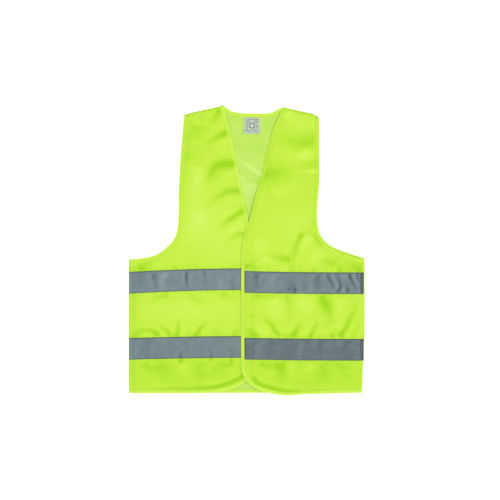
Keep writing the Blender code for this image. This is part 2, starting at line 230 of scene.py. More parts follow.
# Folds of the wearer's right front: from the V down towards the arm, and gathers along the tapes
RIGHT_FOLDS = [
    ([(-40, 277), (-58, 267), (-84, 254), (-104, 246)], 7, 1.05),
    ([(-34, 268), (-50, 262), (-60, 262)], 5, 0.5),
    ([(-20, 201), (-48, 200), (-72, 192), (-86, 174), (-92, 148)], 10, 1.5),
    ([(-16, 186), (-40, 180), (-60, 166)], 9, -0.45),
    ([(-8, 138), (-36, 136), (-56, 130), (-75, 116), (-90, 92)], 7.5, 1.1),
    ([(4, 105), (-18, 103), (-44, 99)], 5, 0.45),
    ([(2, 96), (-17, 85), (-37, 73), (-56, 56), (-66, 40)], 6.5, 1.4),
    ([(-2, 38), (-25, 34), (-40, 23), (-54, 4)], 5.5, 0.75),
    ([(-6, 60), (-30, 52), (-60, 24)], 7, -0.35),
    ([(-62, 328), (-72, 312), (-80, 292)], 7, 0.95),
    ([(-128, 286), (-104, 281), (-78, 280)], 6, 0.5),
    ([(-136, 270), (-112, 262), (-92, 262)], 8, 0.35),
    ([(-152, 210), (-118, 232), (-84, 236)], 16, 0.3),
    ([(-110, 196), (-122, 150), (-140, 110)], 18, -0.4),
    ([(-104, 90), (-120, 50), (-150, 10)], 20, -0.4),
    ([(-252, -44), (-236, -34), (-205, -20)], 9, 0.75),
    ([(-266, -36), (-262, -26), (-240, -18)], 6, -0.5),
    ([(-200, -200), (-218, -189), (-247, -186), (-266, -190)], 5, 1.0),
    ([(-262, -206), (-252, -196), (-238, -190)], 6, 0.7),
    ([(-175, -202), (-194, -181), (-218, -168)], 4.5, 0.9),
    ([(-164, -204), (-159, -178), (-158, -156)], 4.5, 0.95),
    ([(-121, -202), (-107, -181), (-86, -162)], 5, 1.0),
    ([(-60, -202), (-72, -190), (-76, -176)], 7, 0.5),
    ([(-30, -202), (-24, -190), (-14, -178)], 6, 0.7),
    ([(-180, -104), (-205, -112), (-236, -116)], 9, 0.5),
    ([(-130, -102), (-120, -116), (-84, -120)], 10, 0.4),
    ([(-60, -100), (-50, -108), (-20, -110)], 7, 0.4),
    ([(-240, -262), (-226, -274), (-206, -280), (-190, -292)], 8, 0.55),
    ([(-200, -260), (-190, -284), (-192, -306)], 12, 0.4),
    ([(-30, -260), (-50, -272), (-64, -290)], 6, 0.55),
    ([(-52, -258), (-72, -276), (-80, -300)], 7, 0.45),
    ([(-110, -262), (-108, -284), (-100, -306)], 14, 0.3),
    ([(-150, -266), (-140, -290), (-144, -312)], 14, -0.35),
    ([(-139, -50), (-140, -70), (-138, -100)], 3.4, 1.0),
    ([(-98, -46), (-97, -66), (-95, -94)], 4.5, 0.5),
    ([(-220, -54), (-212, -76), (-206, -98)], 5, 0.7),
    ([(-188, -52), (-196, -74), (-192, -98)], 7, -0.5),
    ([(-34, -94), (-30, -70), (-38, -54)], 6, 0.5),
    ([(-64, -96), (-60, -76), (-64, -56)], 9, -0.35),
    ([(-153, -262), (-154, -246), (-154, -232)], 4, 0.9),
    ([(-83, -260), (-83, -246), (-86, -232)], 4.5, 0.7),
    ([(-38, -260), (-34, -244), (-42, -226)], 5, 0.5),
    ([(-226, -204), (-232, -226), (-238, -254)], 9, 0.35),
    ([(10, -276), (-3, -291), (-30, -305), (-66, -317), (-130, -322), (-230, -323)], 4.2, 1.25),
]

# Folds of the wearer's left front
LEFT_FOLDS = [
    ([(160, 250), (140, 250), (115, 246), (92, 252)], 15, 0.6),
    ([(146, 224), (126, 222), (104, 222)], 9, -0.5),
    ([(172, 205), (150, 203), (124, 201)], 9, 0.6),
    ([(180, 184), (160, 183), (138, 182), (122, 181)], 3.6, -1.0),
    ([(40, 184), (62, 176), (84, 174), (118, 178)], 18, 0.5),
    ([(92, 322), (110, 300), (150, 292)], 12, -0.4),
    ([(60, 130), (92, 146), (130, 140)], 18, -0.4),
    ([(176, 8), (158, 34), (140, 40), (124, 34)], 7, 0.8),
    ([(132, 40), (118, 18), (110, -12), (98, -42)], 6.5, 0.95),
    ([(150, 34), (136, 16), (128, -10)], 8, -0.4),
    ([(166, 74), (152, 58), (144, 44)], 8, 0.5),
    ([(102, -21), (78, -20), (52, -14)], 8, 0.9),
    ([(30, -20), (56, -28), (84, -40)], 6, -0.5),
    ([(-6, -36), (10, -38), (34, -46)], 6, 0.9),
    ([(20, 22), (44, -2), (66, -4)], 15, -0.5),
    ([(206, -36), (190, -26), (176, -16)], 9, 0.65),
    ([(268, -48), (252, -40), (244, -26)], 8, 1.0),
    ([(222, -50), (216, -40), (204, -32)], 7, 0.6),
    ([(150, -30), (176, -4), (200, -12)], 11, -0.4),
    ([(78, -204), (66, -188), (53, -169), (30, -146)], 5, 1.1),
    ([(24, -204), (12, -190), (-8, -183)], 6, 1.15),
    ([(44, -204), (38, -190), (18, -170)], 8, -0.4),
    ([(104, -204), (118, -182), (130, -162)], 6, 1.1),
    ([(90, -206), (94, -194), (104, -186)], 8, 0.6),
    ([(145, -206), (158, -181), (164, -158)], 5, 1.05),
    ([(172, -104), (184, -128), (190, -146), (204, -176)], 10, 0.95),
    ([(196, -206), (206, -192), (214, -184)], 7, 0.8),
    ([(214, -206), (226, -187), (243, -157), (258, -118)], 6, 1.15),
    ([(244, -206), (254, -180), (266, -150)], 6, 0.5),
    ([(16, -104), (48, -110), (86, -108)], 7, 0.5),
    ([(92, -102), (99, -128), (97, -152), (99, -172)], 8, 0.55),
    ([(60, -112), (70, -140), (84, -168)], 12, -0.5),
    ([(126, -112), (140, -136), (144, -160)], 12, -0.5),
    ([(216, -112), (214, -140), (200, -176)], 12, -0.5),
    ([(30, -258), (40, -268), (70, -270), (98, -266)], 7, 0.6),
    ([(74, -262), (82, -286), (84, -320)], 11, 0.55),
    ([(100, -262), (106, -286), (104, -320)], 10, -0.35),
    ([(176, -262), (182, -284), (176, -312)], 12, 0.35),
    ([(206, -262), (226, -282), (240, -304)], 9, 0.45),
    ([(150, -262), (140, -284), (118, -306)], 12, -0.4),
    ([(12, -290), (21, -304), (34, -313), (54, -320), (100, -329), (200, -327)], 4.2, 1.25),
    ([(24, -54), (22, -66), (24, -80), (36, -98)], 4.5, 1.0),
    ([(98, -98), (104, -76), (96, -54)], 8, 0.5),
    ([(64, -56), (60, -76), (66, -96)], 8, -0.5),
    ([(112, -100), (112, -90), (110, -78)], 3.4, 1.0),
    ([(186, -56), (192, -68), (204, -90), (208, -102)], 3.4, 1.0),
    ([(198, -56), (206, -74), (216, -94)], 3.2, -1.0),
    ([(210, -100), (218, -84), (213, -66), (206, -54)], 3.4, 1.1),
    ([(220, -56), (226, -70), (236, -92)], 3.2, -0.9),
    ([(238, -100), (232, -88), (226, -72), (220, -56)], 3.4, 1.1),
    ([(236, -54), (242, -66), (254, -90), (258, -102)], 3.6, 1.1),
    ([(246, -54), (252, -68), (262, -92)], 3.0, -0.8),
    ([(256, -54), (260, -70), (266, -90)], 3.0, 0.8),
    ([(166, -56), (164, -74), (170, -98)], 6, 0.5),
    ([(150, -98), (146, -76), (150, -58)], 6, -0.5),
    ([(172, -210), (170, -228), (178, -256)], 6, 0.5),
    ([(236, -208), (228, -228), (232, -256)], 6, 0.5),
    ([(60, -208), (54, -228), (60, -256)], 8, 0.45),
    ([(116, -256), (124, -236), (118, -212)], 8, -0.4),
    ([(20, -256), (26, -236), (20, -212)], 8, -0.4),
]

# Folds of the back, which show inside the V
BACK_FOLDS = [
    ([(38, 172), (24, 181), (6, 194), (-16, 210), (-36, 228)], 3.4, -1.1),
    ([(34, 158), (4, 166), (-30, 196)], 7, 0.6),
    ([(-44, 186), (-20, 173), (0, 160), (24, 150)], 5, -0.7),
    ([(-50, 300), (-30, 306), (-8, 300)], 6, 0.4),
    ([(46, 240), (0, 240), (-34, 260)], 16, 0.35),
    ([(-14, 128), (-2, 140), (14, 130)], 12, -0.4),
]

ARM_EDGES = {"right": flowing(RIGHT_ARMHOLE[3:]), "left": flowing(LEFT_FRONT_ARMHOLE[3:])}
OPEN_EDGES = {"right": flowing(RIGHT_FRONT_EDGE[:9]), "left": flowing(LEFT_FRONT_EDGE[:10])}

# Soft patches of painted shade, and of painted highlight where the amount is below 0:
# where, how wide each way, and how much deeper
RIGHT_SHADE_PATCHES = [
    (-150, -290, 190, 45, 0.42), (-100, 66, 70, 60, -0.34), (-50, 4, 50, 40, -0.25),
    (-130, -140, 110, 26, -0.30), (-60, 190, 46, 40, 0.22), (-120, 270, 40, 20, 0.22),
    (-118, 136, 28, 40, -0.25), (-262, -150, 16, 90, 0.25), (-100, 300, 60, 18, 0.15),
    (-250, -60, 30, 22, 0.3), (-148, 190, 16, 120, 0.22), (-40, 40, 14, 12, -0.1),
]
LEFT_SHADE_PATCHES = [
    (140, -290, 170, 45, 0.45), (90, 60, 80, 46, -0.20), (120, 180, 70, 90, 0.10),
    (40, 60, 24, 50, 0.12), (56, 168, 34, 44, 0.32), (110, 256, 50, 18, 0.25),
    (130, 215, 30, 10, -0.30), (70, 300, 26, 30, 0.12), (240, -30, 50, 16, 0.25),
    (196, -130, 30, 30, 0.25), (70, -130, 40, 20, -0.15), (130, -130, 24, 24, -0.12),
    (8, -120, 18, 90, 0.12),
]

BACK_SHADE_PATCHES = [(2, 142, 26, 60, -0.35), (60, 300, 30, 24, 0.2), (-20, 300, 30, 16, 0.1)]


def shade_patches(x, y, tones):
    shade = np.zeros(len(x))
    for middle_x, middle_y, wide, high, amount in tones:
        shade += amount * bell(x - middle_x, wide) * bell(y - middle_y, high)
    return shade


def waves(x, y):
    """The slow rise and fall of cloth that lies on cloth."""
    return (
        0.32 * np.sin(x / 29 + 1.3) * np.sin(y / 41 + 0.4)
        + 0.26 * np.sin((x + 0.6 * y) / 53 + 2.0)
        + 0.18 * np.sin((0.7 * x - y) / 19 + 0.7 * np.sin(x / 37))
    )


def tape_y(level, side, x):
    """The top edge of a tape at x."""
    outer, inner, _ = TAPES[level, side]
    if side == "right":
        share = np.clip((x + SIDE_X) / (SIDE_X + RIGHT_EDGE_X), 0, 1)
        return outer + (inner - outer) * (1 - (1 - share) ** 2)
    share = np.clip((LEFT_TAPE_END - x) / (LEFT_TAPE_END - LEFT_EDGE_X), 0, 1)
    return outer + (inner - outer) * share**2.4


def puckers(side, x, y):
    """Small gathers that the sewing draws into the cloth above and below each tape."""
    height = np.zeros(len(x))
    for level in ("upper", "lower"):
        top = tape_y(level, side, x)
        for edge, out, phase in ((top, 1, 0.0), (top - TAPE_WIDTH, -1, 2.1)):
            off = (y - edge) * out
            near = np.where(off > 0, np.exp(-off / 8), np.exp(off / 2.5))
            height += 0.22 * near * np.sin(x / 2.5 + 2.4 * np.sin(x / 19 + phase) + phase + 0.02 * y)
    return height


def gathered(side, x, y):
    """Shade of the gathers: uneven dark patches in the cloth along both edges of each tape."""
    shade = np.zeros(len(x))
    for level, start in (("upper", 0.4), ("lower", 2.7)):
        top = tape_y(level, side, x)
        for off, phase in ((y - top, start), (top - TAPE_WIDTH - y, start + 1.3)):
            slow = 0.55 + 0.45 * np.sin(x / 31 + 3 * phase) * np.sin(x / 12.5 + 5 * phase)
            quick = 0.8 + 0.5 * np.sin(x / 3.1 + 2 * np.sin(x / 11 + phase))
            strength = 0.8 if phase == start else 0.5
            shade += np.where(off > 0, np.exp(-np.maximum(off, 0) / 8), 0.0) * slow * quick * strength
    return shade


def arm_band(side, x, y):
    """Painted shade of the doubled cloth along the front of an armhole,
    with a painted highlight along its middle.
    """
    _, away = beside(ARM_EDGES[side], x, y)
    away = np.abs(away)
    doubled = 0.16 if side == "right" else 0.04
    band = doubled * smooth((24 - away) / 9) - 0.16 * bell(away - 12.5, 2.6)
    return band * smooth((y - 40) / 60)


def joined(x, y, shoulder):
    """0 at the side and shoulder seams and 1 away from them, and the shade just below the shoulder seam."""
    ends = sorted(shoulder)
    top = np.interp(x, [p[0] for p in ends], [p[1] for p in ends])
    return smooth((SIDE_X - np.abs(x)) / 15) * smooth((top - y) / 15), bell(top - y, 4.5)


def crossing(x, y):
    """1 where the left front lies on the right one, 0 away from there."""
    return smooth((70 - x) / 56) * smooth((180 - y) / 95)


def settled(side, x, y):
    """1 at a front's open edge, where the cloth comes down on what is under it, 0 away from there."""
    _, away = beside(OPEN_EDGES[side], x, y)
    return bell(away, 6.5) * smooth((300 - y) / 60)


def raised(height, held):
    """The height over the floor of a front's cloth, brought down to its seams where it is held."""
    return FRONT_SEAM_Z + (FRONT_Z + height - FRONT_SEAM_Z) * held


def right_surface(x, y):
    """Height of the middle of the right front's cloth, and its shade."""
    height, shade = folded(x, y, RIGHT_FOLDS)
    allowance = bell(x + SIDE_X - SEAM_ALLOWANCE, 2.0)
    height += LOOSE_RISE + waves(x, y) + puckers("right", x, y) + 0.25 * allowance
    shade += shade_patches(x, y, RIGHT_SHADE_PATCHES) + gathered("right", x, y) + arm_band("right", x, y)
    held, shoulder_shade = joined(x, y, RIGHT_SHOULDER_LINE)
    under = smooth((x + 40) / 30) * crossing(x, y)
    down = settled("right", x, y) * (1 - under)
    height = height * (1 - 0.75 * under) * (1 - 0.8 * down) - 1.0 * down
    # Painted shade along the seam allowance and just below the shoulder seam
    return raised(height, held), shade + 0.3 * allowance + 0.5 * shoulder_shade


def left_surface(x, y):
    """Height of the middle of the left front's cloth, and its shade."""
    height, shade = folded(x, y, LEFT_FOLDS)
    allowance = bell(x - SIDE_X + SEAM_ALLOWANCE, 2.0)
    height += LOOSE_RISE + waves(x + 60, y - 25) + puckers("left", x, y)
    lifted = crossing(x, y)
    down = settled("left", x, y)
    height = height * (1 - 0.7 * lifted) * (1 - 0.8 * down) + OVERLAP_RISE * lifted
    over_patch = np.exp(-(((y + 77) / 36) ** 4))
    height -= down * (1.15 + 0.4 * lifted - 0.85 * lifted * over_patch)
    bed = bell(x - RIGHT_EDGE_X - 4, 5.0) * lifted
    held, shoulder_shade = joined(x, y, LEFT_SHOULDER_LINE)
    shade += shade_patches(x, y, LEFT_SHADE_PATCHES) + gathered("left", x, y) + arm_band("left", x, y)
    # Painted shade along the seam allowance, over the right front's binding beneath, and below the shoulder
    # seam
    return raised(height - 0.3 * bed, held), shade + 0.12 * (allowance + bed) + 0.5 * shoulder_shade


def back_surface(x, y):
    """Height of the middle of the back's cloth, and its shade."""
    height, shade = folded(x, y, BACK_FOLDS)
    shade = shade + shade_patches(x, y, BACK_SHADE_PATCHES)
    shoulders = RIGHT_SHOULDER_LINE[::-1] + [(15, 330)] + LEFT_SHOULDER_LINE
    held, _ = joined(x, y, shoulders)
    height = np.clip(0.15 + 0.35 * height + 0.3 * waves(x - 40, y), 0.1, 0.7)
    return BACK_SEAM_Z + (BACK_Z + height - BACK_SEAM_Z) * held, shade


# ---------------------------------------------------------------- meshes

def inside(outline, x, y):
    """Whether each place is inside the outline."""
    ax, ay = outline.T
    bx, by = np.roll(ax, -1), np.roll(ay, -1)
    within = np.zeros(len(x), bool)
    for i in range(len(ax)):
        crosses = (ay[i] > y) != (by[i] > y)
        rise = by[i] - ay[i] if by[i] != ay[i] else 1.0
        within ^= crosses & (x < (bx[i] - ax[i]) * (y - ay[i]) / rise + ax[i])
    return within


def bend_columns(side):
    """Places in X where every layer of a front has a line of points, so that they all bend alike."""
    if side == "back":
        return np.zeros(0)
    start = RIGHT_FOLD_X if side == "right" else LEFT_FOLD_X - BEND_LENGTH
    return np.linspace(start, start + BEND_LENGTH, 9)


def filled(outline, columns, cell=CELL):
    """Points and triangles that fill an outline evenly, with straight lines of points at the columns."""
    low, high = outline.min(0), outline.max(0)
    pitch = cell * math.sqrt(3) / 2
    rows = []
    for i, y in enumerate(np.arange(low[1], high[1], pitch)):
        x = np.arange(low[0] + (i % 2) * cell / 2, high[0], cell)
        rows.append(np.column_stack([x, np.full(len(x), y)]))
    grid = np.concatenate(rows)
    if len(columns):
        off_bend = np.abs(grid[:, 0] - columns.mean()) > np.ptp(columns) / 2 + cell * 0.6
        up = np.arange(low[1], high[1], cell)
        lines = np.column_stack([np.repeat(columns, len(up)), np.tile(up, len(columns))])
        grid = np.concatenate([grid[off_bend], lines])
    grid = grid[inside(outline, grid[:, 0], grid[:, 1])]
    clear = np.concatenate([
        np.hypot(part[:, :1] - outline[:, 0], part[:, 1:] - outline[:, 1]).min(1)
        for part in np.array_split(grid, 40)
    ])
    points = np.concatenate([outline, grid[clear > cell * 0.35]])
    count = len(outline)
    edges = [(i, (i + 1) % count) for i in range(count)]
    for i in range(count, len(points) - 1):
        (x, y), (next_x, next_y) = points[i], points[i + 1]
        if x == next_x and abs(next_y - y) < 1.5 * cell:
            edges.append((i, i + 1))
    found = delaunay_2d_cdt([Vector(p) for p in points], edges, [], 1, 1e-4)
    return np.array([(p.x, p.y) for p in found[0]]), [tuple(face) for face in found[2]]


def linked(name, data):
    """An object for the data, put into the scene."""
    obj = bpy.data.objects.new(name, data)
    bpy.context.scene.collection.objects.link(obj)
    return obj


def mesh_object(name, points, faces, finishes, indices, flat, shade):
    """An object from points in millimetres. flat is each point's place on the uncut cloth."""
    mesh = bpy.data.meshes.new(name)
    mesh.from_pydata((np.asarray(points) * MM).tolist(), [], faces)
    for finish in finishes:
        mesh.materials.append(finish)
    if indices is not None:
        mesh.polygons.foreach_set("material_index", indices)
    corners = np.empty(len(mesh.loops), np.int32)
    mesh.loops.foreach_get("vertex_index", corners)
    layer = mesh.uv_layers.new(name="cloth")
    layer.data.foreach_set("uv", (np.asarray(flat)[corners] * MM).astype(np.float32).ravel())
    # The shade attribute: painted shade above 0 and painted highlight below 0, mixed into the colour
    attribute = mesh.attributes.new("shade", "FLOAT", "POINT")
    attribute.data.foreach_set("value", np.asarray(shade, np.float32))
    mesh.polygons.foreach_set("use_smooth", [True] * len(mesh.polygons))
    mesh.update()
    return linked(name, mesh)


def outwards(obj):
    """Turns every face of a closed shape outwards."""
    shape = bmesh.new()
    shape.from_mesh(obj.data)
    bmesh.ops.recalc_face_normals(shape, faces=shape.faces)
    shape.to_mesh(obj.data)
    shape.free()
    return obj


def thick_sheet(name, places, faces, height, thickness, top, bottom, flat=None, shade=None):
    """A closed sheet with two faces and a rim, from a layout of places in X and Y and a height for each."""
    count = len(places)
    upper = np.column_stack([places, height + thickness / 2])
    lower = np.column_stack([places, height - thickness / 2])
    edges = {}
    for face in faces:
        for a, b in zip(face, face[1:] + face[:1]):
            edges[a, b] = edges.get((a, b), 0) + 1
    rim = [(a, b) for a, b in edges if (b, a) not in edges]
    under = [tuple(i + count for i in reversed(face)) for face in faces]
    wall = [(b, a, a + count, b + count) for a, b in rim]
    indices = [0] * len(faces) + [1] * len(under) + [0] * len(wall)
    flat = places if flat is None else flat
    shade = np.zeros(count) if shade is None else shade
    return mesh_object(
        name, np.concatenate([upper, lower]), faces + under + wall, [top, bottom], indices,
        np.concatenate([flat, flat]), np.concatenate([shade, shade]),
    )


def anticlockwise(places, faces):
    """The faces, turned so that they look up."""
    a, b, c = (places[[face[i] for face in faces]] for i in range(3))
    turn = (b[:, 0] - a[:, 0]) * (c[:, 1] - a[:, 1]) - (b[:, 1] - a[:, 1]) * (c[:, 0] - a[:, 0])
    return [face if up > 0 else face[::-1] for face, up in zip(faces, turn)]


def panel(name, outline, surface, top, bottom, columns=()):
    places, faces = filled(outline, columns)
    height, shade = surface(places[:, 0], places[:, 1])
    return thick_sheet(name, places, anticlockwise(places, faces), height, CLOTH, top, bottom, shade=shade)


def inward(line):
    """The unit direction to the left of a line, at each of its points."""
    heading = np.gradient(line, axis=0)
    heading /= np.hypot(heading[:, 0], heading[:, 1])[:, None]
    return np.column_stack([-heading[:, 1], heading[:, 0]])


def swept(name, line, section, surface, finish, ripple=0.0, shade=0.0):
    """A closed section swept along a line on the cloth. The section's points are (inwards, up)."""
    normals, count, around = inward(line), len(line), len(section)
    travel = np.concatenate([[0], np.cumsum(np.hypot(*np.diff(line, axis=0).T))])
    points, flat, tone = [], [], []
    girth = np.concatenate([[0], np.cumsum([math.dist(a, b) for a, b in zip(section, section[1:])])])
    for turn, (reach, up) in zip(girth, section):
        places = line + normals * max(reach, 0.0)
        height, dark = surface(places[:, 0], places[:, 1])
        loose = ripple * math.sin(math.pi * min(1.0, max(0.0, reach) / 6)) * math.copysign(1, up)
        sway = np.sin(travel / 2.9 + 2.2 * np.sin(travel / 23)) + 0.6 * np.sin(travel / 7.3)
        out = line + normals * reach
        points.append(np.column_stack([out, height + up + loose * sway]))
        flat.append(np.column_stack([travel, np.full(count, turn)]))
        # Half the cloth's painted shade, the piece's own painted shade, and a painted highlight on the turned
        # edge
        tone.append(0.5 * dark + shade + np.full(count, -0.6 if reach < 0.2 else 0.0))
    faces = []
    for j in range(around):
        k = (j + 1) % around
        for i in range(count - 1):
            faces.append((j * count + i, j * count + i + 1, k * count + i + 1, k * count + i))
    faces.append(tuple(j * count for j in range(around)))
    faces.append(tuple(j * count + count - 1 for j in reversed(range(around))))
    made = mesh_object(
        name, np.concatenate(points), faces, [finish], None, np.concatenate(flat), np.concatenate(tone)
    )
    return outwards(made)


def binding_section(leg):
    """A strip folded in half over the edge of the cloth, held down by its seam and loose at its raw edge."""
    near, far = CLOTH / 2 + 0.06, CLOTH / 2 + 0.42
    seam = leg - STITCH_INSET
    crown = [(seam * s, far + 0.30 * math.sin(math.pi * s)) for s in (0.15, 0.32, 0.5, 0.68, 0.85)]
    top = crown + [(seam, far - 0.10), (leg - 0.4, far + 0.04), (leg, far)]
    bend = [(-0.35, far * 0.8), (-0.62, far * 0.4), (-0.70, 0.0)]
    upper = [(leg + 0.1, near), (0.3, near)]
    right_half = bend[::-1] + [(0.0, far)] + top + upper
    left_half = [(s, -h) for s, h in reversed(right_half)]
    return right_half + [(0.05, 0.0)] + left_half[:-1]


def seam_section():
    """Both raw edges turned in together: a rolled outer edge and a flat allowance inside."""
    roll = [(math.cos(a) * -0.75, math.sin(a) * 0.85) for a in np.linspace(-math.pi / 2, math.pi / 2, 9)]
    back = [(1.6, 0.5), (4.0, 0.38), (8.0, 0.36), (11.6, 0.40), (12.1, 0.0)]
    return roll + back + [(s, -h) for s, h in reversed(back[:-1])]


def grid_faces(lines, points):
    """The faces of a grid, given line by line."""
    faces = []
    for i in range(lines - 1):
        for j in range(points - 1):
            a = i * points + j
            faces.append((a, a + 1, a + points + 1, a + points))
    return faces


def tape_sheet(name, columns, top_of, surface, above, finish, tone, rows=17):
    """A tape of even width laid on the cloth, with its bottom edge straight under its top edge."""
    x = np.repeat(columns, rows)
    down = np.tile(np.linspace(0, 1, rows) * TAPE_WIDTH, len(columns))
    places, flat = np.column_stack([x, top_of(x) - down]), np.column_stack([x, down])
    height, shade = surface(*places.T)
    faces = anticlockwise(places, grid_faces(len(columns), rows))
    return thick_sheet(name, places, faces, height + above, TAPE, finish, finish, flat, shade + tone)


def patch_sheet(name, corner, size, surface, above, finish, columns=9, rows=21):
    x = np.linspace(corner[0], corner[0] + size[0], columns)
    y = np.linspace(corner[1], corner[1] + size[1], rows)
    places = np.column_stack([part.ravel() for part in np.meshgrid(x, y)])
    height, _ = surface(*places.T)
    return thick_sheet(name, places, grid_faces(rows, columns), height + above, PATCH, finish, finish)


# ---------------------------------------------------------------- finishes

def give(tree, socket, value):
    """Links a socket to another one, or sets its value."""
    value = value.socket if isinstance(value, Value) else value
    if isinstance(value, bpy.types.NodeSocket):
        tree.links.new(value, socket)
    else:
        socket.default_value = value


def add_node(tree, kind, settings=None, **inputs):
    """Adds a node, sets its settings first, and then its sockets by name or, as in _0, by number."""
    made = tree.nodes.new(kind)
    for setting, value in (settings or {}).items():
        setattr(made, setting, value)
    for key, value in inputs.items():
        give(tree, made.inputs[int(key[1:]) if key[1:].isdigit() else key.replace("_", " ")], value)
    return made


class Value:
    """A socket of a finish. Python's operators on it add Math nodes."""

    def __init__(self, finish, socket):
        self.finish = finish
        self.socket = socket

    def __add__(self, other):
        return self.finish.math("ADD", self, other)

    def __sub__(self, other):
        return self.finish.math("SUBTRACT", self, other)

    def __rsub__(self, other):
        return self.finish.math("SUBTRACT", other, self)

    def __mul__(self, other):
        return self.finish.math("MULTIPLY", self, other)

    def __truediv__(self, other):
        return self.finish.math("DIVIDE", self, other)

    def __gt__(self, other):
        return self.finish.math("GREATER_THAN", self, other)

    def __lt__(self, other):
        return self.finish.math("LESS_THAN", self, other)

    __radd__ = __add__
    __rmul__ = __mul__


class Finish:
    """A material built round one Principled BSDF."""

    def __init__(self, name, **sockets):
        self.material = bpy.data.materials.new(name)
        self.material.use_nodes = True
        self.tree = self.material.node_tree
        self.shader = self.tree.nodes["Principled BSDF"]
        self.drive(**sockets)

    def drive(self, **sockets):
        """Gives the shader's own sockets values or links."""
        for name, value in sockets.items():
            give(self.tree, self.shader.inputs[name.replace("_", " ")], value)

    def node(self, kind, settings=None, **inputs):
        return add_node(self.tree, kind, settings, **inputs)

    def math(self, operation, *values):
        sockets = {f"_{i}": value for i, value in enumerate(values)}
        return Value(self, self.node("ShaderNodeMath", {"operation": operation}, **sockets).outputs[0])

    def sin(self, value):
        return self.math("SINE", value)

    def least(self, first, second):
        return self.math("MINIMUM", first, second)

    def most(self, first, second):
        return self.math("MAXIMUM", first, second)

    def clamped(self, value):
        return self.least(self.most(value, 0.0), 1.0)

    def wave(self, value, pitch):
        """Up to 1 and back to 0 once in each pitch."""
        return self.sin(value * math.tau / pitch) * 0.5 + 0.5

    def woven(self, across, up, pitch):
        """The small squares of a plain weave."""
        return self.sin(across * math.tau / pitch) * self.sin(up * math.tau / pitch) * 0.5 + 0.5

    def mixed(self, share, first, second):
        """A colour between two, by share. Each is a socket or three numbers."""
        ends = [c if isinstance(c, bpy.types.NodeSocket) else (*c, 1.0) for c in (first, second)]
        settings = {"data_type": "RGBA", "clamp_factor": True}
        return self.node("ShaderNodeMix", settings, _0=share, _6=ends[0], _7=ends[1]).outputs[2]

    def shaded(self, shade, middle, deep, pale):
        """The middle colour, deeper as shade rises over 0 and paler as it falls under 0."""
        return self.mixed(0.0 - shade, self.mixed(shade, middle, deep), pale)

    def noise(self, vector, scale, detail=2.0):
        """Soft noise about 0."""
        made = self.node("ShaderNodeTexNoise", None, Vector=vector, Scale=scale, Detail=detail)
        return Value(self, made.outputs["Fac"]) - 0.5

    def attribute(self, name):
        made = self.node("ShaderNodeAttribute", {"attribute_name": name})
        return Value(self, made.outputs["Fac"])

    def cloth_place(self):
        """The place on the uncut cloth, in millimetres: the vector, and its two parts."""
        uv = self.node("ShaderNodeUVMap", {"uv_map": "cloth"}).outputs[0]
        scaled = self.node("ShaderNodeVectorMath", {"operation": "SCALE"}, Vector=uv, Scale=1 / MM).outputs[0]
        parts = self.node("ShaderNodeSeparateXYZ", None, Vector=scaled)
        return scaled, Value(self, parts.outputs[0]), Value(self, parts.outputs[1])

    def relief(self, height, distance):
        """Adds a relief so many millimetres deep, and returns the finished material."""
        bump = self.node("ShaderNodeBump", None, Strength=1.0, Distance=distance * MM, Height=height)
        self.drive(Normal=bump.outputs[0])
        return self.material


def knit(name, middle, deep, pale):
    """Fine warp knit: columns of small chevrons, with painted shade in its folds
    and painted highlights on its crests.
    """
    f = Finish(name, Sheen_Weight=0.15, Sheen_Roughness=0.5, Specular_IOR_Level=0.25)
    place, across, up = f.cloth_place()
    wale, course = across / 1.5, up / 1.25
    slant = f.math("ABSOLUTE", f.math("FRACT", wale) - 0.5)
    yarn = f.wave(course + slant, 1.0) * 0.6 + f.wave(wale, 1.0) * 0.4
    cloud = f.noise(place, 0.05, 3.0)
    # Long soft streaks of painted shade and highlight that stand in for small wrinkles
    drift = f.node("ShaderNodeMapping", None, Vector=place, Rotation=(0.0, 0.0, 0.25), Scale=(0.35, 1.5, 1.0))
    streak = f.noise(drift.outputs[0], 0.075, 3.0)
    fuzz = f.noise(place, 0.35, 4.0)
    shade = f.attribute("shade") + cloud * 0.36 + streak * 0.55 + fuzz * 0.55 + (0.5 - yarn) * 0.22
    f.drive(Base_Color=f.shaded(shade, middle, deep, pale), Roughness=0.86 - yarn * 0.12)
    return f.relief(yarn + fuzz * 0.5, 0.12)


def ribbed_strip(name, middle, deep, pale):
    """Binding: a thin plain weave with a rib across the strip."""
    f = Finish(name, Sheen_Weight=0.1, Specular_IOR_Level=0.3)
    place, length, girth = f.cloth_place()
    rib, cross = f.wave(length, 0.9), f.wave(girth, 0.6)
    cloud = f.noise(place, 0.14, 3.0)
    # The shade attribute brings painted shade and painted highlight; cloud and rib add the strip's own tone
    shade = f.attribute("shade") + cloud * 0.55 + (0.5 - rib) * 0.2
    f.drive(Base_Color=f.shaded(shade, middle, deep, pale), Roughness=0.62 + cloud * 0.2)
    return f.relief(rib * 0.7 + cross * 0.3 + cloud, 0.10)


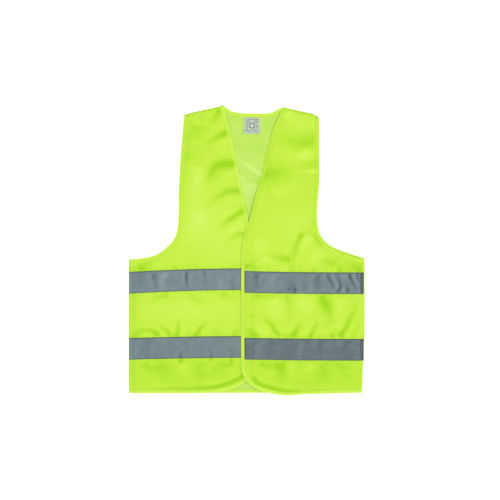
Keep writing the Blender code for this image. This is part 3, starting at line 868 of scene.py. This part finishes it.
def reflective(name, side):
    """Silver tape of fine glass beads, dark along its sewn edges, with painted shade in its creases."""
    f = Finish(name, Specular_IOR_Level=0.55)
    place, length, down = f.cloth_place()
    weave = f.woven(length, down, 0.8)
    cloud = f.noise(place, 0.06, 4.0)
    beads = f.noise(place, 3.5, 1.0)
    drift = f.node("ShaderNodeMapping", None, Vector=place, Scale=(0.3, 1.6, 1.0))
    streak = f.noise(drift.outputs[0], 0.2, 3.0)
    dark_edge = 1.0 - f.least(f.least(down, TAPE_WIDTH - down) / 2.6, 1.0)
    shade = f.attribute("shade") * 0.75 + cloud * 0.6 + streak * 0.7 + beads * 0.25 + weave * 0.06
    # A painted highlight at the right front's tape ends, where they turn round the side
    if side == "right":
        shade = shade - f.clamped((-252.0 - length) / 18.0) * 0.5
    if side == "left":
        from_binding = f.math("ABSOLUTE", length - LEFT_EDGE_X - BINDING_LEG)
        dark_edge = f.most(dark_edge, 1.0 - f.least(from_binding / 2.4, 1.0))
    tone = f.shaded(shade, (0.152, 0.210, 0.224), (0.078, 0.112, 0.122), (0.240, 0.305, 0.318))
    tone = f.mixed(dark_edge * 0.85, tone, (0.050, 0.070, 0.078))
    # Painted shade at the left front's tape ends, where they turn round the side to the back
    if side == "left":
        tone = f.mixed(f.clamped((length - TAPE_TURNS_AT) / 3.0) * 0.85, tone, (0.040, 0.052, 0.060))
    f.drive(Base_Color=tone, Metallic=0.25 + beads * 0.2, Roughness=0.46 + beads * 0.25 + cloud * 0.2)
    return f.relief(weave * 0.6 + beads, 0.06)


def thread(name, tone):
    """Twisted sewing thread."""
    f = Finish(name, Roughness=0.55, Sheen_Weight=0.2)
    place = f.node("ShaderNodeTexCoord").outputs["Object"]
    settings = {"bands_direction": "DIAGONAL"}
    twist = f.node("ShaderNodeTexWave", settings, Vector=place, Scale=900.0, Distortion=2.0)
    strand = Value(f, twist.outputs["Fac"])
    f.drive(Base_Color=f.mixed(strand, [part * 0.72 for part in tone], tone))
    return f.relief(strand, 0.05)


def woven_base(name, tone):
    """The stiff woven ground of a hook or loop patch."""
    f = Finish(name, Roughness=0.7)
    place, across, up = f.cloth_place()
    weave = f.woven(across, up, 0.7)
    f.drive(Base_Color=f.mixed(weave, [part * 0.7 for part in tone], tone))
    return f.relief(weave + f.noise(place, 1.5) * 0.4, 0.12)


def label_satin(name, ink):
    """White satin with grey print: a plain ring and rows of short bars. Ink is how strongly they show."""
    f = Finish(name, Roughness=0.42, Sheen_Weight=0.1)
    place, across, up = f.cloth_place()
    width, height = LABEL_SIZE
    u, v = across / width + 0.5, up / height + 1.0

    def within(value, low, high):
        return (value > low) * (value < high)

    def rows(low, high, count, columns, keep, seed):
        """Rows of short bars, each there or not by chance."""
        row, column = (v - low) * (count / (high - low)), u * columns
        places = {"X": f.math("FLOOR", column), "Y": f.math("FLOOR", row), "Z": seed}
        cell = f.node("ShaderNodeCombineXYZ", None, **places)
        chance = Value(f, f.node("ShaderNodeTexWhiteNoise", None, Vector=cell.outputs[0]).outputs["Value"])
        bar = within(f.math("FRACT", row), 0.24, 0.80) * within(f.math("FRACT", column), 0.06, 0.94)
        return bar * (chance < keep) * within(v, low, high) * within(u, 0.09, 0.91)

    top = rows(0.66, 0.94, 3, 10, 0.86, 3.0)
    middle = rows(0.36, 0.64, 4, 13, 0.82, 7.0)
    foot = rows(0.06, 0.34, 4, 12, 0.78, 11.0)
    reach = f.math("SQRT", (u - 0.5) * (u - 0.5) + (v - 0.5) * (v - 0.5))
    bars = f.most(f.most(top, middle), foot) * (reach > 0.23)
    printed = f.most(bars, within(reach, 0.12, 0.19))
    weave = f.wave(across, 0.5)
    wear = f.noise(place, 0.8)
    ground = f.mixed(weave * 0.35 + wear * 0.4, (0.53, 0.61, 0.49), (0.39, 0.47, 0.36))
    f.drive(Base_Color=f.mixed(printed * (ink + wear * 0.4 * ink), ground, (0.10, 0.125, 0.12)))
    return f.relief(weave, 0.04)


# Each cloth colour, then a deeper one for painted shade and a paler one for painted highlight
OUTSIDE = knit("lime_knit", (0.500, 0.768, 0.045), (0.322, 0.632, 0.004), (0.588, 0.835, 0.118))
INSIDE = knit("lime_knit_inside", (0.480, 0.730, 0.103), (0.385, 0.680, 0.048), (0.590, 0.800, 0.195))
BINDING = ribbed_strip("lime_binding", (0.530, 0.790, 0.050), (0.370, 0.690, 0.010), (0.615, 0.855, 0.125))
REFLECTIVE = {side: reflective("silver_tape_" + side, side) for side in ("right", "left", "back")}
LIME_THREAD = thread("lime_thread", (0.60, 0.84, 0.14))
GREY_THREAD = thread("grey_thread", (0.17, 0.21, 0.225))
WHITE_THREAD = thread("white_thread", (0.80, 0.84, 0.80))
HOOK_BASE = woven_base("hook_tape", (0.50, 0.76, 0.10))
LOOP_BASE = woven_base("loop_tape", (0.48, 0.74, 0.09))
LABEL_FACE = label_satin("label_face", 0.86)
LABEL_REVERSE = label_satin("label_reverse", 0.10)


# ---------------------------------------------------------------- node trees that repeat a shape

def shape_tree(name, inputs):
    """An empty Geometry Nodes tree: its named inputs, and functions to add a node and to finish it."""
    tree = bpy.data.node_groups.new(name, "GeometryNodeTree")
    tree.interface.new_socket("Geometry", in_out="INPUT", socket_type="NodeSocketGeometry")
    for label, kind in inputs:
        tree.interface.new_socket(label, in_out="INPUT", socket_type="NodeSocket" + kind)
    tree.interface.new_socket("Geometry", in_out="OUTPUT", socket_type="NodeSocketGeometry")
    start = tree.nodes.new("NodeGroupInput")
    end = tree.nodes.new("NodeGroupOutput")

    def add(kind, settings=None, **values):
        return add_node(tree, kind, settings, **values)

    def finish(shape, material):
        whole = add("GeometryNodeRealizeInstances", Geometry=shape.outputs[0])
        done = add("GeometryNodeSetMaterial", Geometry=whole.outputs[0], Material=material)
        tree.links.new(done.outputs[0], end.inputs[0])
        return tree

    return start.outputs, add, finish


def stitch_tree():
    """A row of stitches: one small oval of thread at each pitch along every line of the mesh."""
    inputs = [(label, "Float") for label in ("Pitch", "Length", "Thickness")] + [("Thread", "Material")]
    start, add, finish = shape_tree("stitches", inputs)
    line = add("GeometryNodeMeshToCurve", Mesh=start["Geometry"])
    even = add("GeometryNodeResampleCurve", {"mode": "LENGTH"}, Curve=line.outputs[0], Length=start["Pitch"])
    ahead = add("GeometryNodeInputTangent")
    turn = add("FunctionNodeAlignRotationToVector", {"axis": "X"}, Vector=ahead.outputs[0])
    thick = start["Thickness"]
    size = add("ShaderNodeCombineXYZ", X=start["Length"], Y=thick, Z=thick)
    oval = add("GeometryNodeMeshIcoSphere", Radius=0.5, Subdivisions=1)
    soft = add("GeometryNodeSetShadeSmooth", Geometry=oval.outputs[0])
    copies = add(
        "GeometryNodeInstanceOnPoints",
        Points=even.outputs[0], Instance=soft.outputs[0], Rotation=turn.outputs[0], Scale=size.outputs[0],
    )
    return finish(copies, start["Thread"])


def pile_tree():
    """Small arches of yarn on every point of the mesh: whole arches for loops, open ones for hooks."""
    inputs = [(label, "Float") for label in ("Radius", "Sweep", "Yarn", "Scatter", "Lean")]
    start, add, finish = shape_tree("pile", inputs + [("Seed", "Int"), ("Material", "Material")])
    arch = add(
        "GeometryNodeCurveArc", {"mode": "RADIUS"},
        Resolution=6, Radius=start["Radius"], Start_Angle=0.0, Sweep_Angle=start["Sweep"],
    )
    ring = add("GeometryNodeCurvePrimitiveCircle", {"mode": "RADIUS"}, Resolution=3, Radius=start["Yarn"])
    yarn = add("GeometryNodeCurveToMesh", Curve=arch.outputs[0], Profile_Curve=ring.outputs[0])
    upright = add("GeometryNodeTransform", Geometry=yarn.outputs[0], Rotation=(math.pi / 2, 0.0, 0.0))
    most = start["Scatter"]
    least = add("ShaderNodeMath", {"operation": "MULTIPLY"}, _0=most, _1=-1.0).outputs[0]
    low = add("ShaderNodeCombineXYZ", X=least, Y=least, Z=least).outputs[0]
    high = add("ShaderNodeCombineXYZ", X=most, Y=most, Z=most).outputs[0]
    settings = {"data_type": "FLOAT_VECTOR"}
    chance = add("FunctionNodeRandomValue", settings, _0=low, _1=high, Seed=start["Seed"])
    lean = add("ShaderNodeCombineXYZ", X=start["Lean"], Y=0.0, Z=0.0).outputs[0]
    turned = add("ShaderNodeVectorMath", {"operation": "ADD"}, _0=chance.outputs[0], _1=lean)
    copies = add(
        "GeometryNodeInstanceOnPoints",
        Points=start["Geometry"], Instance=upright.outputs[0], Rotation=turned.outputs[0],
    )
    return finish(copies, start["Material"])


def grown(name, points, edges, tree, settings):
    """A plain mesh made by a tree from points and edges in millimetres."""
    seed = bpy.data.meshes.new(name + "_seed")
    seed.from_pydata((np.asarray(points) * MM).tolist(), edges, [])
    holder = linked(name + "_seed", seed)
    modifier = holder.modifiers.new(name, "NODES")
    modifier.node_group = tree
    sockets = {item.name: item.identifier for item in tree.interface.items_tree if item.in_out == "INPUT"}
    for label, value in settings.items():
        modifier[sockets[label]] = value
    bpy.context.view_layer.update()
    evaluated = holder.evaluated_get(bpy.context.evaluated_depsgraph_get())
    mesh = bpy.data.meshes.new_from_object(evaluated)
    bpy.data.objects.remove(holder, do_unlink=True)
    mesh.name = name
    return linked(name, mesh)


STITCHES = stitch_tree()
PILE = pile_tree()


def stitched(name, rows, finish, pitch=3.2, length=2.5, thickness=0.5):
    """Stitches along several lines, each an array of places in millimetres."""
    edges, start = [], 0
    for row in rows:
        edges += [(start + i, start + i + 1) for i in range(len(row) - 1)]
        start += len(row)
    settings = {"Pitch": pitch * MM, "Length": length * MM, "Thickness": thickness * MM, "Thread": finish}
    return grown(name, np.concatenate(rows), edges, STITCHES, settings)


def on_cloth(line, surface, above):
    """A line in X and Y laid at a height over the cloth."""
    height, _ = surface(line[:, 0], line[:, 1])
    return np.column_stack([line, height + above])


def both_faces(line, surface, over, under):
    return [on_cloth(line, surface, over), on_cloth(line, surface, -under)]


def bound_rows(line, leg, surface):
    """The seam that holds a binding, on both faces."""
    inner = line + inward(line) * (leg - STITCH_INSET)
    return both_faces(inner, surface, CLOTH / 2 + 0.40, CLOTH / 2 + 0.40)


def tape_rows(side, above, below):
    """Both seams of a side's two tapes, on both faces of the cloth."""
    low, high = TAPE_SPANS[side]
    columns = evenly([(low + 2, 0), (high - 3, 0)], CELL)[:, 0]
    rows = []
    for level in LEVELS:
        for inset in (TAPE_SEAM, TAPE_WIDTH - TAPE_SEAM):
            line = np.column_stack([columns, tape_y(level, side, columns) - inset])
            rows += both_faces(line, SURFACES[side], above, below)
    return rows


# ---------------------------------------------------------------- pieces

def ride(piece, body):
    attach(piece, body)


def declare(flat, side, nodes, area=None):
    """Hides the frame's nodes that a sheet replaces.
    Its flat size, area and what it lies on are worked out and not kept.
    """
    if nodes:
        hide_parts(*nodes)
    size = (flat[0] * MM, flat[1] * MM)
    area = None if area is None else area * MM * MM
    rests_on = [side if side == "floor" else "back_cloth" if side == "back" else side + "_front_cloth"]


def bends(piece, side):
    """Bakes the transform of a piece of a front into its mesh."""
    side == "right"
    side + "_flap"
    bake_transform(piece)


SURFACES = {"right": right_surface, "left": left_surface, "back": back_surface}
TAPE_SPANS = {
    "right": (-SIDE_X, RIGHT_EDGE_X - BINDING_LEG + 0.8),
    "left": (LEFT_EDGE_X + BINDING_LEG - 0.8, LEFT_TAPE_END),
    "back": (-SIDE_X, LEFT_TAPE_END),
}


def front_edge(side):
    """A front's bound edge, from neck to hem or back, with the cloth on its left."""
    return flowing(RIGHT_FRONT_EDGE)[::-1] if side == "right" else flowing(LEFT_FRONT_EDGE)


def left_side_line():
    return np.concatenate([flowing(LEFT_SIDE), evenly([LEFT_SIDE[-1], LEFT_FRONT_ARMHOLE[0]], CELL)[1:]])


def body_edges():
    """Bound edges of the body: name, line, reach of the binding, side, and the nodes it replaces."""
    hem, right_arm = evenly([RIGHT_HEM, LEFT_HEM], CELL), flowing(RIGHT_ARMHOLE)[::-1]
    left_arm, left_back_arm = flowing(LEFT_FRONT_ARMHOLE), flowing(LEFT_ARMHOLE)
    return [
        ("back_neck_binding", flowing(BACK_NECKLINE)[::-1], BINDING_LEG, "back", ("neck_binding",)),
        ("back_hem_edge_binding", hem, BINDING_LEG, "back", ("back_hem_binding",)),
        ("right_armhole_front_binding", right_arm, ARMHOLE_LEG, "right", ("right_armhole_binding",)),
        ("right_armhole_back_binding", right_arm, ARMHOLE_LEG, "back", ()),
        ("left_armhole_front_binding", left_arm, ARMHOLE_LEG, "left", ("left_armhole_binding",)),
        ("left_armhole_back_binding", left_back_arm, ARMHOLE_LEG, "back", ()),
    ]


def front_outline(side):
    if side == "right":
        side_line = evenly([RIGHT_HEM, RIGHT_UNDERARM], CELL)[1:-1]
        parts = [flowing(RIGHT_FRONT_EDGE), side_line, flowing(RIGHT_ARMHOLE)]
        return np.concatenate(parts + [flowing(RIGHT_SHOULDER_LINE)[::-1][1:-1]])
    parts = [flowing(LEFT_FRONT_EDGE), left_side_line()[1:-1], flowing(LEFT_FRONT_ARMHOLE)]
    return np.concatenate(parts + [flowing(LEFT_SHOULDER_LINE)[::-1][1:-1]])


def back_outline():
    parts = [
        evenly([RIGHT_HEM, LEFT_HEM], CELL), flowing(LEFT_SIDE)[1:],
        evenly([LEFT_SIDE[-1], LEFT_UNDERARM], CELL)[1:-1], flowing(LEFT_ARMHOLE),
        flowing(LEFT_SHOULDER_LINE)[::-1][1:], flowing(BACK_NECKLINE)[::-1][1:],
        flowing(RIGHT_SHOULDER_LINE)[1:], flowing(RIGHT_ARMHOLE)[::-1][1:],
        evenly([RIGHT_UNDERARM, RIGHT_HEM], CELL)[1:-1],
    ]
    return np.concatenate(parts)


def cloth_panels():
    for side in ("right", "left"):
        outline = front_outline(side)
        piece = panel(side + "_front_cloth", outline, SURFACES[side], OUTSIDE, INSIDE, bend_columns(side))
        bends(piece, side)
        nodes = (side + "_front_panel", side + "_front_flap")
        declare(np.ptp(outline, axis=0), "back", nodes, area_of(outline))
    outline = back_outline()
    piece = panel("back_cloth", outline, back_surface, INSIDE, OUTSIDE)
    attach(piece, "vest_body")
    declare(np.ptp(outline, axis=0), "floor", ("back_panel",), area_of(outline))


def bound_edge(name, line, leg, surface, shade=0.0):
    piece = swept(name, line, binding_section(leg), surface, BINDING, ripple=0.10, shade=shade)
    return piece, (2 * leg + 1.6, length_of(line))


def bindings():
    # Painted shade along the left front's edge binding: deepest up the V and paler round its foot
    up = front_edge("left")[:, 1]
    shades = {"right": 0.0, "left": 0.26 * smooth((up - 10) / 30) + 0.20 * smooth((up + 270) / 60) - 0.1}
    for side in ("right", "left"):
        name = side + "_front_edge_binding"
        piece, flat = bound_edge(name, front_edge(side), BINDING_LEG, SURFACES[side], shades[side])
        bends(piece, side)
        declare(flat, side, (side + "_hem_binding", side + "_flap_binding"))
    for name, line, leg, side, nodes in body_edges():
        # Painted shade on the armhole bindings
        shade = 0.28 if "armhole" in name else 0.0
        piece, flat = bound_edge(name, line, leg, SURFACES[side], shade)
        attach(piece, "vest_body")
        declare(flat, side, nodes)


def tapes():
    for level in LEVELS:
        for side in ("right", "left", "back"):
            low, high = TAPE_SPANS[side]
            columns = evenly([(low, 0), (high, 0)], 2.4)[:, 0]
            bend = bend_columns(side)
            if len(bend):
                off_bend = np.abs(columns - bend.mean()) > np.ptp(bend) / 2 + 0.8
                columns = np.sort(np.concatenate([columns[off_bend], bend]))
            above = -TAPE_ABOVE if side == "back" else TAPE_ABOVE
            piece = tape_sheet(
                f"{level}_{side}_reflective_tape", columns, lambda x: tape_y(level, side, x),
                SURFACES[side], above, REFLECTIVE[side], TAPES[level, side][2],
            )
            nodes = [f"{level}_{side}_tape"]
            if side == "back":
                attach(piece, "vest_body")
            else:
                bends(piece, side)
                nodes.append(f"{level}_{side}_flap_tape")
            declare((TAPE_WIDTH, high - low), side, nodes)


def seams():
    """The side and shoulder seams: rolled edges outside, allowances with an overlock thread inside."""
    lines = {
        "right_side_seam": evenly([RIGHT_HEM, RIGHT_UNDERARM], CELL)[::-1],
        "left_side_seam": left_side_line(),
        "right_shoulder_seam": flowing(RIGHT_SHOULDER_LINE),
        "left_shoulder_seam": flowing(LEFT_SHOULDER_LINE)[::-1],
    }
    middle = (FRONT_SEAM_Z + BACK_SEAM_Z) / 2

    def level_surface(x, y):
        return np.full(len(x), middle), np.zeros(len(x))

    rows = []
    for name, line in lines.items():
        kept = line[4:-4]
        centre = kept[len(kept) // 2]
        if inward(kept)[len(kept) // 2] @ (np.array([15, 0]) - centre) < 0:
            kept = kept[::-1]
        # Painted shade on the seam cloth, deepest on the shoulder seams
        shade = 1.2 if "shoulder" in name else 0.5
        piece = swept(name + "_cloth", kept, seam_section(), level_surface, OUTSIDE, shade=shade)
        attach(piece, "vest_body")
        declare((SEAM_ALLOWANCE + 2, length_of(kept)), "back", (name,))
        zig = evenly(kept, 1.6)
        reach = np.where(np.arange(len(zig)) % 2 == 0, SEAM_ALLOWANCE - 3.4, SEAM_ALLOWANCE + 0.2)
        zigzag = zig + inward(zig) * reach[:, None]
        rows += both_faces(zigzag, level_surface, 0.50, 0.50)
    thread_piece = stitched("seam_overlock_thread", rows, LIME_THREAD, pitch=1.3, length=1.9, thickness=0.34)
    ride(thread_piece, "vest_body")


def front_stitches(side):
    rows = bound_rows(front_edge(side), BINDING_LEG, SURFACES[side])
    piece = stitched(side + "_front_binding_stitches", rows, LIME_THREAD)
    bends(piece, side)
    rows = tape_rows(side, ON_TAPE, ON_CLOTH)
    piece = stitched(side + "_front_tape_stitches", rows, GREY_THREAD, thickness=FINE_STITCH)
    bends(piece, side)


def body_stitches():
    rows = []
    for _, line, leg, side, _ in body_edges():
        rows += bound_rows(line, leg, SURFACES[side])
    ride(stitched("edge_binding_stitches", rows, LIME_THREAD), "vest_body")
    rows = tape_rows("back", ON_CLOTH, ON_TAPE)
    ride(stitched("back_tape_stitches", rows, GREY_THREAD, thickness=FINE_STITCH), "vest_body")


def rectangle_line(x, y, width, height, inset=1.0):
    left, right, low, high = x + inset, x + width - inset, y + inset, y + height - inset
    corners = [(left, low), (right, low), (right, high), (left, high), (left, low)]
    sides = [evenly([a, b], 2.0) for a, b in zip(corners, corners[1:])]
    return np.concatenate([sides[0]] + [part[1:] for part in sides[1:]])


# Each kind of patch: left edge, width, front and base, then its pile's pitch, radius, sweep, scatter and lean
PATCHES = {
    "hook": (HOOK_X, HOOK_WIDTH, "left", HOOK_BASE, 1.35, 0.26, 4.1, 0.0, math.pi),
    "loop": (LOOP_X, LOOP_WIDTH, "right", LOOP_BASE, 1.2, 0.42, 3.3, 0.9, 0.0),
}


def patch(kind, level, low, high):
    """One patch with its pile, hooks down or loops up. Returns the rows of stitches that hold it."""
    x, width, side, finish, pitch, radius, sweep, scatter, lean = PATCHES[kind]
    surface, body, size = SURFACES[side], side + "_flap", (width, high - low)
    on_tape = 2 * TAPE_ABOVE - CLOTH / 2 if level == "upper" else CLOTH / 2
    lift, facing = (-CLOTH / 2 - 0.3, -1) if kind == "hook" else (on_tape + 0.3, 1)
    base = patch_sheet(f"{level}_{kind}_base", (x, low), size, surface, lift, finish)
    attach(base, body)
    across = np.arange(x + 1.6, x + width - 1.4, pitch)
    up = np.arange(low + 1.6, high - 1.4, pitch)
    places = np.array([(a + (j % 2) * pitch / 2, b) for j, b in enumerate(up) for a in across])
    settings = {
        "Radius": radius * MM, "Sweep": sweep, "Yarn": 0.075 * MM, "Scatter": scatter,
        "Lean": lean, "Seed": 5, "Material": finish,
    }
    pile = grown(f"{level}_{kind}s", on_cloth(places, surface, lift + facing * PATCH / 2), [], PILE, settings)
    ride(pile, body)
    declare(size, side, (f"{level}_{kind}_patch",))
    line = rectangle_line(x, low, *size)
    if kind == "loop":
        return both_faces(line, surface, lift + PATCH_STITCH_RISE, ON_CLOTH)
    rows = [on_cloth(line, surface, lift - PATCH_STITCH_RISE)]
    if level == "lower":
        rows.append(on_cloth(line, surface, CLOTH / 2 + 0.08))
    return rows


def patches():
    """Hook patches under the left front's edge, loop patches on the right front's edge, and their sewing."""
    rows = {"hook": [], "loop": []}
    for level, (low, high) in PATCH_SPANS.items():
        for kind in PATCHES:
            rows[kind] += patch(kind, level, low, high)
    for kind, body in (("hook", "left_flap"), ("loop", "right_flap")):
        piece = stitched(kind + "_patch_stitches", rows[kind], LIME_THREAD, 2.6, 2.1, FINE_STITCH)
        ride(piece, body)
    top = tape_y("upper", "left", np.array([2.0]))[0]
    tack = []
    for down in (0.0, 0.8, 1.6):
        ends = [(HOOK_X + 0.4 + down * 0.1, top + 3.4 - down), (HOOK_X + 6.0, top + 3.0 - down)]
        tack.append(on_cloth(np.array(ends), left_surface, 0.5))
    ride(stitched("patch_bar_tack", tack, WHITE_THREAD, 1.8, 2.2, 0.7), "left_flap")


def care_label():
    """A satin label sewn in by its top edge, curling up a little at its foot."""
    width, height = LABEL_SIZE
    columns, rows = 19, 21
    u, v = np.meshgrid(np.linspace(-width / 2, width / 2, columns), np.linspace(-height, 0, rows))
    u, v = u.ravel(), v.ravel()
    flat = np.column_stack([u, v])
    cosine, sine = math.cos(LABEL_TURN), math.sin(LABEL_TURN)
    turn = np.array([[cosine, sine], [-sine, cosine]])
    foot = np.clip(-v / height, 0, 1)
    curl = 1.3 * foot**3 + 0.35 * foot * np.sin(u / 6.0 + 1.0) + 0.5 * foot**2 * (u / width * 2) ** 2
    piece = thick_sheet(
        "sewn_in_label", flat @ turn + LABEL_TOP, grid_faces(rows, columns), LABEL_Z + 0.1 + curl, 0.25,
        LABEL_FACE, LABEL_REVERSE, flat,
    )
    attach(piece, "label")
    sewn = np.column_stack([np.linspace(-width / 2 + 1, width / 2 - 1, 20), np.full(20, -1.2)])
    row = np.column_stack([sewn @ turn + LABEL_TOP, np.full(20, LABEL_Z + 0.3)])
    stitches = stitched("label_stitches", [row], WHITE_THREAD, pitch=2.4, length=1.9, thickness=0.35)
    ride(stitches, "label")
    declare(LABEL_SIZE, "back", ("care_label",))


# ---------------------------------------------------------------- floor, light and camera

def floor():
    bpy.ops.mesh.primitive_plane_add(size=60.0, location=(0, 0, -0.0004))
    plane = bpy.context.object
    plane.name = "floor"
    white = (1.0, 1.0, 1.0, 1.0)
    f = Finish("white_floor", Roughness=0.9, Specular_IOR_Level=0.0, Base_Color=(0.50, 0.50, 0.50, 1.0))
    f.drive(Emission_Color=white, Emission_Strength=0.72)
    plane.data.materials.append(f.material)


def lights():
    world = bpy.data.worlds.new("studio")
    world.use_nodes = True
    background = world.node_tree.nodes["Background"]
    background.inputs["Color"].default_value = (1.0, 1.0, 1.0, 1.0)
    background.inputs["Strength"].default_value = 0.785
    bpy.context.scene.world = world
    sun = bpy.data.lights.new("key_light", "SUN")
    sun.energy = 1.35
    sun.angle = math.radians(40)
    lamp = linked("key_light", sun)
    lamp.rotation_mode = "QUATERNION"
    lamp.rotation_quaternion = LIGHT.to_track_quat("Z", "Y")


def camera():
    """Straight over the vest, far enough off to flatten it."""
    span, lens, sensor = 1.162, 100.0, 36.0
    data = bpy.data.cameras.new("overhead")
    data.lens = lens
    data.sensor_width = sensor
    data.clip_end = 100.0
    eye = linked("overhead", data)
    eye.location = (7.6 * MM, -0.2 * MM, span * lens / sensor + FRONT_Z * MM)
    bpy.context.scene.camera = eye
    bpy.context.scene.view_settings.view_transform = "Standard"


cloth_panels()
bindings()
tapes()
seams()
front_stitches("right")
front_stitches("left")
body_stitches()
patches()
care_label()
floor()
lights()
camera()
